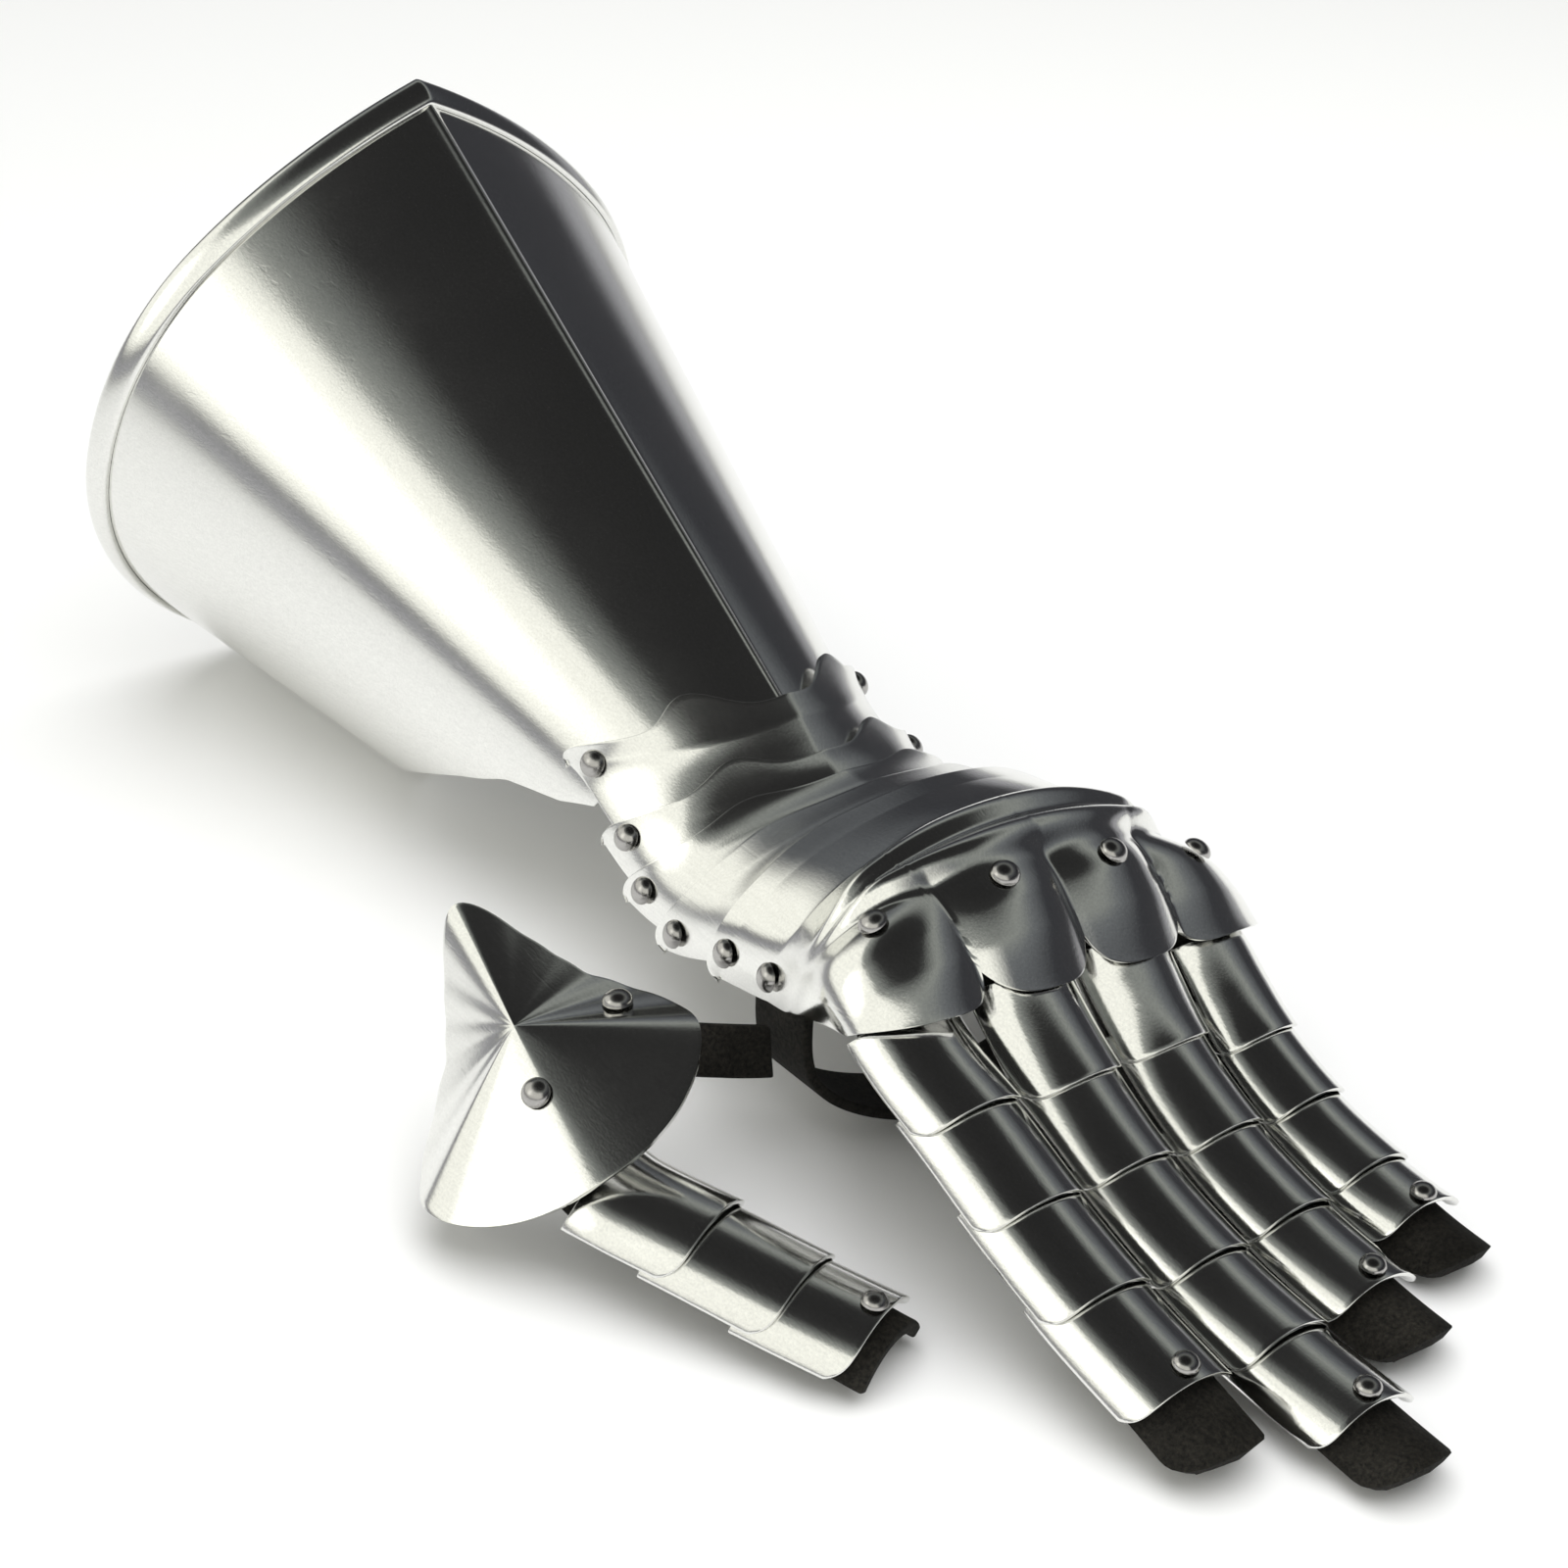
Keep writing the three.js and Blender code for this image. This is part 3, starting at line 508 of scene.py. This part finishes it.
def grid_on(name, surface, rows, columns, weld=False):
    """A flat grid laid onto a surface(u, v)."""
    clear_selection()
    bpy.ops.mesh.primitive_grid_add(x_subdivisions=rows, y_subdivisions=columns, size=2)
    piece = bpy.context.object
    piece.name = piece.data.name = name
    co = np.empty(len(piece.data.vertices) * 3)
    piece.data.vertices.foreach_get("co", co)
    u, v = (co.reshape(-1, 3)[:, :2].T + 1) / 2
    place = (surface(u, v) + ORIGIN) * MM
    piece.data.vertices.foreach_set("co", place.ravel())
    piece.data.update()
    if weld:
        bpy.ops.object.mode_set(mode="EDIT")
        bpy.ops.mesh.select_all(action="SELECT")
        bpy.ops.mesh.remove_doubles(threshold=1e-6)
        bpy.ops.object.mode_set(mode="OBJECT")
    return piece


def plate(name, surface, rows, columns, wall, bevel, weld=False, sharp=32):
    """A sheet of even thickness under a surface, with its edges rounded."""
    piece = grid_on(name, surface, rows, columns, weld)
    apply_modifier(piece, "SOLIDIFY", thickness=wall * MM, offset=-1)
    corner = math.radians(60)
    apply_modifier(piece, "BEVEL", width=bevel * MM, segments=3, limit_method="ANGLE", angle_limit=corner)
    smooth_faces(piece, sharp)
    return piece


def dress(piece, node, material):
    """The piece takes a CAD node's place, body and slot."""
    piece.data.materials.clear()
    piece.data.materials.append(material)
    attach(piece, BODY_OF[node])
    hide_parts(node)


# ---- Cuff ----

def cuff_surface():
    """The cuff's skin: v goes round it, u goes over the rim, inside to the wrist, round its edge and back."""
    keys, reaches = zip(*CUFF_REACH)
    roll_along, roll_up = zip(*ROLL)
    rolled, inside, turned = CUFF_STRETCHES

    def surface(u, v):
        side = 1 - 2 * v  # this way round, the faces point outwards
        angle = math.pi * np.sign(side) * np.abs(side) ** KEEL_CROWDING
        reach = np.interp(np.abs(np.degrees(angle)), keys, reaches) * CUFF_LENGTH
        over = np.clip(u / rolled, 0, 1) * (len(ROLL) - 1)
        inward = np.clip((u - rolled) / (inside - rolled), 0, 1)
        turn = np.clip((u - inside) / (turned - inside), 0, 1) * math.pi
        back = np.clip((u - turned) / (1 - turned), 0, 1)
        half = PLATE / 2
        tip = reach - half
        stretches = [u < rolled, u < inside, u < turned]
        inner = roll_along[-1] + (tip - roll_along[-1]) * inward
        outer = tip + (roll_along[0] - tip) * back
        along = np.select(stretches, [column(roll_along, over), inner, tip + half * np.sin(turn)], outer)
        up = np.select(stretches, [column(roll_up, over), -PLATE + 0 * u, -half - half * np.cos(turn)], 0.0)
        share = along / CUFF_LENGTH
        step = 1e-3
        along_cone = cuff_point(share + step, angle) - cuff_point(share - step, angle)
        round_cone = cuff_point(share, angle + step) - cuff_point(share, angle - step)
        bead = KEEL_BEAD["height"] * np.exp(-((angle / KEEL_BEAD["spread"]) ** 2)) * (u > turned)
        return cuff_point(share, angle) + unit(np.cross(along_cone, round_cone)) * (up + bead)[..., None]

    return surface


def make_cuff(steel):
    piece = grid_on("cuff_sheet", cuff_surface(), 120, 240, weld=True)
    smooth_faces(piece, 40)
    dress(piece, "cuff", steel)


# ---- Rivets ----

RIVET_FORMS = {}  # meshes by size


def make_rivet_form(radius, height):
    """A domed head that stands on the origin, closed below."""
    clear_selection()
    bpy.ops.mesh.primitive_uv_sphere_add(segments=32, ring_count=24, radius=radius * MM)
    piece = bpy.context.object
    bpy.ops.object.mode_set(mode="EDIT")
    bpy.ops.mesh.select_all(action="SELECT")
    bpy.ops.mesh.bisect(plane_co=(0, 0, 0), plane_no=(0, 0, 1), use_fill=True, clear_inner=True)
    bpy.ops.mesh.select_all(action="SELECT")
    bpy.ops.transform.resize(value=(1, 1, height / radius), center_override=(0, 0, 0))
    bpy.ops.object.mode_set(mode="OBJECT")
    smooth_faces(piece, 40)
    return piece


def copy_rivet_form(name, size):
    """Each form is modelled once, and every rivet has its own copy of its mesh."""
    if size not in RIVET_FORMS:
        form = make_rivet_form(*size)
        RIVET_FORMS[size] = form.data
        bpy.data.objects.remove(form)
    piece = bpy.data.objects.new(name, RIVET_FORMS[size].copy())
    piece.data.name = name
    bpy.context.collection.objects.link(piece)
    return piece


def put_rivet(node, surface, u, v, size, steel):
    u, v = np.array(float(u)), np.array(float(v))
    point = Vector((surface(u, v) + ORIGIN) * MM)
    normal = Vector(normal_of(surface, u, v))
    piece = copy_rivet_form(node + "_domed", size)
    turn = Vector((0, 0, 1)).rotation_difference(normal).to_matrix().to_4x4()
    piece.data.transform(Matrix.Translation(point + normal * HEAD_STAND * MM) @ turn)
    dress(piece, node, steel)


def near_arch(row, angle, height):
    """The arches around a rivet, which sits at the middle of both ways."""

    def surface(u, v):
        here, turned = np.broadcast_arrays(row + u - 0.5, angle + (v - 0.5) * 0.2)
        point = arch_point(here, turned)
        return point + arch_normal(here, turned) * height(here, point[..., 1])[..., None]

    return surface


def make_rivets(steel):
    for row in range(1, STRAP_ROW + 1):
        turn = float(arch_at(np.array(float(row)))["turn"])
        lap = 0 if row == STRAP_ROW else LAP
        for side, name in ((-1, "thumb_side"), (1, "little_side")):
            surface = near_arch(row, side * turn, lambda r, y: lap + 0 * r)
            put_rivet(f"rivet_wrist_{row}_{name}", surface, 0.5, 0.5, WRIST_RIVET, steel)
    for name, digit in DIGITS.items():
        tip_scale = scale_surface(digit, Line(**digit), len(digit["ends"]) - 1)
        put_rivet(f"rivet_{name}_tip", tip_scale, TIP_RIVET, 0.5, SMALL_RIVET, steel)
        if name != "thumb":
            arch = arch_at(np.array(float(digit["row"])))
            angle = math.asin(digit["y"] * math.sin(arch["turn"]) / arch["half"])
            surface = near_arch(digit["row"], angle, hand_relief)
            put_rivet(f"rivet_{name}_knuckle", surface, 0.5, 0.5, WRIST_RIVET, steel)
    for name, place in (("front", FRONT_RIVET), ("side", SIDE_RIVET)):
        put_rivet("rivet_guard_" + name, guard_surface, *guard_place(*place), WRIST_RIVET, steel)


# ---- Materials ----

PLATE_COLOR = (0.80, 0.80, 0.775)
RIVET_COLOR = (0.42, 0.41, 0.40)

def new_material(name):
    material = bpy.data.materials.new(name)
    material.use_nodes = True
    tree = material.node_tree
    return material, tree, tree.nodes["Principled BSDF"]


def add_node(tree, kind, place, **inputs):
    node = tree.nodes.new(kind)
    node.location = place
    for key, value in inputs.items():
        node.inputs[key.replace("_", " ")].default_value = value
    return node


def new_effect(name, outputs, **inputs):
    """A shader group with named sockets: a place and numbers in, numbers out."""
    tree = bpy.data.node_groups.new(name, "ShaderNodeTree")
    tree.interface.new_socket("Vector", in_out="INPUT", socket_type="NodeSocketVector")
    for key, value in inputs.items():
        socket = tree.interface.new_socket(key, in_out="INPUT", socket_type="NodeSocketFloat")
        socket.default_value = value
    for key in outputs:
        tree.interface.new_socket(key, in_out="OUTPUT", socket_type="NodeSocketFloat")
    return tree, tree.nodes.new("NodeGroupInput"), tree.nodes.new("NodeGroupOutput")


def make_brushed_wear():
    """Fine brushing, hairline scratches and cloudy patches of a hand-polished plate."""
    outputs = ("Roughness", "Tone", "Height")
    tree, given, out = new_effect("brushed_wear", outputs, Dullness=0.2, Patches=0.08, Grain=0.5)
    link = tree.links.new
    stretch = add_node(tree, "ShaderNodeMapping", (-900, 0), Scale=(60, 1500, 1500))
    link(given.outputs["Vector"], stretch.inputs["Vector"])
    brush = add_node(tree, "ShaderNodeTexNoise", (-700, 0), Scale=1, Detail=4, Roughness=0.7)
    link(stretch.outputs["Vector"], brush.inputs["Vector"])
    speck = add_node(tree, "ShaderNodeTexNoise", (-700, -250), Scale=1800, Detail=2)
    link(given.outputs["Vector"], speck.inputs["Vector"])
    cloud = add_node(tree, "ShaderNodeTexNoise", (-700, -500), Scale=26, Detail=6, Roughness=0.62)
    link(given.outputs["Vector"], cloud.inputs["Vector"])
    turned = add_node(tree, "ShaderNodeMapping", (-900, 300), Rotation=(0.4, 0.3, 0.9), Scale=(9, 420, 420))
    link(given.outputs["Vector"], turned.inputs["Vector"])
    hair = add_node(tree, "ShaderNodeTexNoise", (-700, 300), Scale=1, Detail=1)
    link(turned.outputs["Vector"], hair.inputs["Vector"])
    scratch = add_node(tree, "ShaderNodeMapRange", (-500, 300), From_Min=0.68, From_Max=0.74, To_Max=0.2)
    link(hair.outputs["Fac"], scratch.inputs["Value"])
    grain = add_node(tree, "ShaderNodeMix", (-450, 0), Factor=0.5)
    link(brush.outputs["Fac"], grain.inputs["A"])
    link(speck.outputs["Fac"], grain.inputs["B"])
    height = add_node(tree, "ShaderNodeMath", (-250, 0))
    height.operation = "MULTIPLY"
    link(grain.outputs["Result"], height.inputs[0])
    link(given.outputs["Grain"], height.inputs[1])
    sum_up = add_node(tree, "ShaderNodeMath", (-100, 0))
    sum_up.operation = "SUBTRACT"
    link(height.outputs[0], sum_up.inputs[0])
    link(scratch.outputs["Result"], sum_up.inputs[1])
    link(sum_up.outputs[0], out.inputs["Height"])
    centred = add_node(tree, "ShaderNodeMapRange", (-450, -500),
                       From_Min=0.3, From_Max=0.7, To_Min=-0.5, To_Max=1)
    link(cloud.outputs["Fac"], centred.inputs["Value"])
    patchy = add_node(tree, "ShaderNodeMath", (-250, -500))
    patchy.operation = "MULTIPLY_ADD"
    link(centred.outputs["Result"], patchy.inputs[0])
    link(given.outputs["Patches"], patchy.inputs[1])
    link(given.outputs["Dullness"], patchy.inputs[2])
    link(patchy.outputs[0], out.inputs["Roughness"])
    tone = add_node(tree, "ShaderNodeMapRange", (-250, -250),
                    From_Min=0.25, From_Max=0.75, To_Min=0.86, To_Max=1.08)
    link(grain.outputs["Result"], tone.inputs["Value"])
    link(tone.outputs["Result"], out.inputs["Tone"])
    return tree


def make_steel(name, wear, color, dullness, patches, grain):
    material, tree, shader = new_material(name)
    link = tree.links.new
    shader.inputs["Metallic"].default_value = 1
    place = add_node(tree, "ShaderNodeTexCoord", (-1000, 0))
    effect = add_node(tree, "ShaderNodeGroup", (-800, 0))
    effect.node_tree = wear
    effect.inputs["Dullness"].default_value = dullness
    effect.inputs["Patches"].default_value = patches
    effect.inputs["Grain"].default_value = grain
    link(place.outputs["Object"], effect.inputs["Vector"])
    shade = add_node(tree, "ShaderNodeMix", (-450, 150))
    shade.data_type = "RGBA"
    shade.blend_type = "MULTIPLY"
    shade.inputs["Factor"].default_value = 1
    shade.inputs["A"].default_value = (*color, 1)
    link(effect.outputs["Tone"], shade.inputs["B"])
    link(shade.outputs["Result"], shader.inputs["Base Color"])
    link(effect.outputs["Roughness"], shader.inputs["Roughness"])
    bump = add_node(tree, "ShaderNodeBump", (-300, -200), Strength=0.12, Distance=0.0002)
    link(effect.outputs["Height"], bump.inputs["Height"])
    link(bump.outputs["Normal"], shader.inputs["Normal"])
    return material


def make_leather(name):
    """Thick split leather: matted fibres, pits and worn, slightly olive high spots."""
    material, tree, shader = new_material(name)
    link = tree.links.new
    shader.inputs["Roughness"].default_value = 0.92
    shader.inputs["Specular IOR Level"].default_value = 0.25
    place = add_node(tree, "ShaderNodeTexCoord", (-1100, 0))
    fibre = add_node(tree, "ShaderNodeTexNoise", (-900, 0), Scale=1100, Detail=8, Roughness=0.75)
    pits = add_node(tree, "ShaderNodeTexVoronoi", (-900, -300), Scale=330)
    worn = add_node(tree, "ShaderNodeTexNoise", (-900, 300), Scale=60, Detail=5)
    for texture in (fibre, pits, worn):
        link(place.outputs["Object"], texture.inputs["Vector"])
    tone = add_node(tree, "ShaderNodeValToRGB", (-650, 0))
    tone.color_ramp.elements[0].position = 0.35
    tone.color_ramp.elements[0].color = (0.004, 0.004, 0.004, 1)
    tone.color_ramp.elements[1].position = 0.75
    tone.color_ramp.elements[1].color = (0.034, 0.031, 0.025, 1)
    link(fibre.outputs["Fac"], tone.inputs["Fac"])
    shade = add_node(tree, "ShaderNodeMix", (-350, 100))
    shade.data_type = "RGBA"
    shade.blend_type = "MULTIPLY"
    shade.inputs["Factor"].default_value = 1
    link(tone.outputs["Color"], shade.inputs["A"])
    spread = add_node(tree, "ShaderNodeMapRange", (-650, 300),
                      From_Min=0.3, From_Max=0.7, To_Min=0.55, To_Max=1.5)
    link(worn.outputs["Fac"], spread.inputs["Value"])
    link(spread.outputs["Result"], shade.inputs["B"])
    link(shade.outputs["Result"], shader.inputs["Base Color"])
    dimple = add_node(tree, "ShaderNodeMapRange", (-650, -300), From_Min=0, From_Max=0.35)
    link(pits.outputs["Distance"], dimple.inputs["Value"])
    relief = add_node(tree, "ShaderNodeMix", (-450, -200), Factor=0.35)
    link(fibre.outputs["Fac"], relief.inputs["A"])
    link(dimple.outputs["Result"], relief.inputs["B"])
    bump = add_node(tree, "ShaderNodeBump", (-250, -200), Strength=1, Distance=0.0009)
    link(relief.outputs["Result"], bump.inputs["Height"])
    link(bump.outputs["Normal"], shader.inputs["Normal"])
    return material


# ---- Camera, floor and light ----

CAMERA_PLACE = (498.56, -402.16, 397.73)
CAMERA_AZIMUTH = 51.05
CAMERA_ELEVATION = 28.81
CAMERA_ROLL = 3.58
CAMERA_LENS = 71.1
CAMERA_SENSOR = 36


def make_camera():
    data = bpy.data.cameras.new("camera")
    data.lens = CAMERA_LENS
    data.sensor_width = CAMERA_SENSOR
    data.clip_start = 0.01
    camera = bpy.data.objects.new("camera", data)
    turn = (Matrix.Rotation(math.radians(CAMERA_AZIMUTH), 4, "Z")
            @ Matrix.Rotation(math.radians(90 - CAMERA_ELEVATION), 4, "X")
            @ Matrix.Rotation(math.radians(CAMERA_ROLL), 4, "Z"))
    place = Vector((np.array(CAMERA_PLACE) + ORIGIN) * MM)
    camera.matrix_world = Matrix.Translation(place) @ turn
    bpy.context.scene.collection.objects.link(camera)
    bpy.context.scene.camera = camera


def make_floor():
    clear_selection()
    bpy.ops.mesh.primitive_plane_add(size=6)
    floor = bpy.context.object
    floor.name = "floor"
    material, _, shader = new_material("white_floor")
    shader.inputs["Base Color"].default_value = (0.92, 0.92, 0.92, 1)
    shader.inputs["Roughness"].default_value = 0.9
    floor.data.materials.append(material)


def add_light(name, place, aim, size, power, glossy):
    data = bpy.data.lights.new(name, "AREA")
    data.shape = "RECTANGLE"
    data.size, data.size_y = size
    data.energy = power
    light = bpy.data.objects.new(name, data)
    direction = Vector(aim) - Vector(place)
    light.matrix_world = Matrix.Translation(place) @ direction.to_track_quat("-Z", "Y").to_matrix().to_4x4()
    light.visible_glossy = glossy
    bpy.context.scene.collection.objects.link(light)


# The studio as the plates mirror it: a large soft box on the thumb side, a dark ceiling, grey far walls
BOX_LOW, BOX_HIGH = 0.12, 0.72
BOX_LEVEL = 1.15
BOX_TINT = (1.0, 1.0, 0.925)
HOT_SPOT = (-0.27, -0.85, 0.45)
HOT_LEVEL = 0.9
ROOM = [  # height on the sphere round the gauntlet, colour of the walls and the ceiling there
    (0.03, (0.38, 0.38, 0.40)), (0.13, (0.05, 0.05, 0.055)), (0.4, (0.045, 0.046, 0.052)),
    (0.62, (0.16, 0.17, 0.18)), (0.74, (0.30, 0.315, 0.295)), (0.80, (0.20, 0.21, 0.20)),
    (0.87, (0.03, 0.03, 0.03)), (1.0, (0.024, 0.024, 0.024)),
]
OVERHEAD = {"place": (0.15, 0.15, 1.6), "size": (2.4, 2.4), "power": 40}


def make_light():
    world = bpy.data.worlds.new("studio")
    world.use_nodes = True
    tree = world.node_tree
    link = tree.links.new
    place = add_node(tree, "ShaderNodeTexCoord", (-1500, 0))
    parts = add_node(tree, "ShaderNodeSeparateXYZ", (-1300, 0))
    link(place.outputs["Generated"], parts.inputs["Vector"])

    def combine(kind, a, b, place_at):
        node = add_node(tree, "ShaderNodeMath", place_at)
        node.operation = kind
        for socket, value in zip(node.inputs, (a, b)):
            if isinstance(value, (int, float)):
                socket.default_value = value
            else:
                link(value, socket)
        return node.outputs[0]

    def step(value, start, end, at):
        node = add_node(tree, "ShaderNodeMapRange", at, From_Min=start, From_Max=end)
        node.interpolation_type = "SMOOTHSTEP"
        link(value, node.inputs["Value"])
        return node.outputs["Result"]

    above = step(parts.outputs["Z"], BOX_LOW - 0.05, BOX_LOW + 0.05, (-1000, 200))
    below = step(parts.outputs["Z"], BOX_HIGH + 0.02, BOX_HIGH - 0.02, (-1000, 0))
    side = step(parts.outputs["Y"], 0.0, -0.35, (-1000, -200))
    box = combine("MULTIPLY", combine("MULTIPLY", above, below, (-800, 100)), side, (-600, 0))
    ceiling = add_node(tree, "ShaderNodeValToRGB", (-1000, -500))
    ramp = ceiling.color_ramp
    for stop, (at, color) in zip(ramp.elements, ROOM):
        stop.position, stop.color = at, (*color, 1)
    for at, color in ROOM[2:]:
        ramp.elements.new(at).color = (*color, 1)
    link(parts.outputs["Z"], ceiling.inputs["Fac"])
    hot = add_node(tree, "ShaderNodeVectorMath", (-1000, -800))
    hot.operation = "DOT_PRODUCT"
    hot.inputs[1].default_value = Vector(HOT_SPOT).normalized()
    link(place.outputs["Generated"], hot.inputs[0])
    spot = step(hot.outputs["Value"], 0.955, 1.0, (-800, -800))
    level = combine("ADD", combine("MULTIPLY", spot, HOT_LEVEL, (-600, -800)), BOX_LEVEL, (-400, -700))
    mix = add_node(tree, "ShaderNodeMix", (-300, 0))
    mix.data_type = "RGBA"
    link(box, mix.inputs["Factor"])
    link(ceiling.outputs["Color"], mix.inputs["A"])
    tint = add_node(tree, "ShaderNodeVectorMath", (-200, -500))
    tint.operation = "SCALE"
    tint.inputs[0].default_value = BOX_TINT
    link(level, tint.inputs["Scale"])
    link(tint.outputs["Vector"], mix.inputs["B"])
    link(mix.outputs["Result"], tree.nodes["Background"].inputs["Color"])
    bpy.context.scene.world = world
    add_light("overhead", aim=(0, 0, 0), glossy=False, **OVERHEAD)


def main():
    wear = make_brushed_wear()
    polished = make_steel("polished_steel", wear, PLATE_COLOR, dullness=0.115, patches=0.05, grain=0.7)
    satin = make_steel("satin_steel", wear, PLATE_COLOR, dullness=0.17, patches=0.07, grain=0.8)
    gunmetal = make_steel("gunmetal_rivets", wear, RIVET_COLOR, dullness=0.2, patches=0.08, grain=0.6)
    leather = make_leather("black_leather")
    make_camera()
    make_cuff(polished)
    for row, hump in LAMES.items():
        surface = lame_surface(row, hump)
        piece = plate(f"wrist_lame_{row}_sheet", surface, 40, 160, PLATE, PLATE_EDGE, weld=True)
        dress(piece, f"wrist_lame_{row}", satin)
    hand = plate("hand_plate_sheet", hand_surface(), 150, 240, PLATE, PLATE_EDGE, weld=True)
    dress(hand, "hand_plate", polished)
    guard = plate("thumb_guard_sheet", guard_surface, 40, 240, PLATE, PLATE_EDGE, weld=True)
    dress(guard, "thumb_guard", polished)
    for name, digit in DIGITS.items():
        line = Line(**digit)
        strip = hide_surface(name, digit, line)
        hide = plate(f"{name}_leather_strip", strip, 90, 24, HIDE, HIDE_EDGE, weld=True)
        dress(hide, f"{name}_leather", leather)
        for k in range(len(digit["ends"])):
            surface = scale_surface(digit, line, k)
            scale = plate(f"{name}_scale_{k + 1}_sheet", surface, 24, 48, SCALE, SCALE_EDGE)
            dress(scale, f"{name}_scale_{k + 1}", polished)
    strap = plate("palm_strap_band", palm_strap_surface, 10, 90, PALM_STRAP["wall"], STRAP_EDGE)
    dress(strap, "palm_strap", leather)
    strap = plate("thumb_strap_band", thumb_strap_surface, 8, 30, THUMB_STRAP["wall"], STRAP_EDGE)
    dress(strap, "thumb_strap", leather)
    make_rivets(gunmetal)
    make_floor()
    make_light()
    bpy.context.scene.view_settings.view_transform = "Standard"


main()
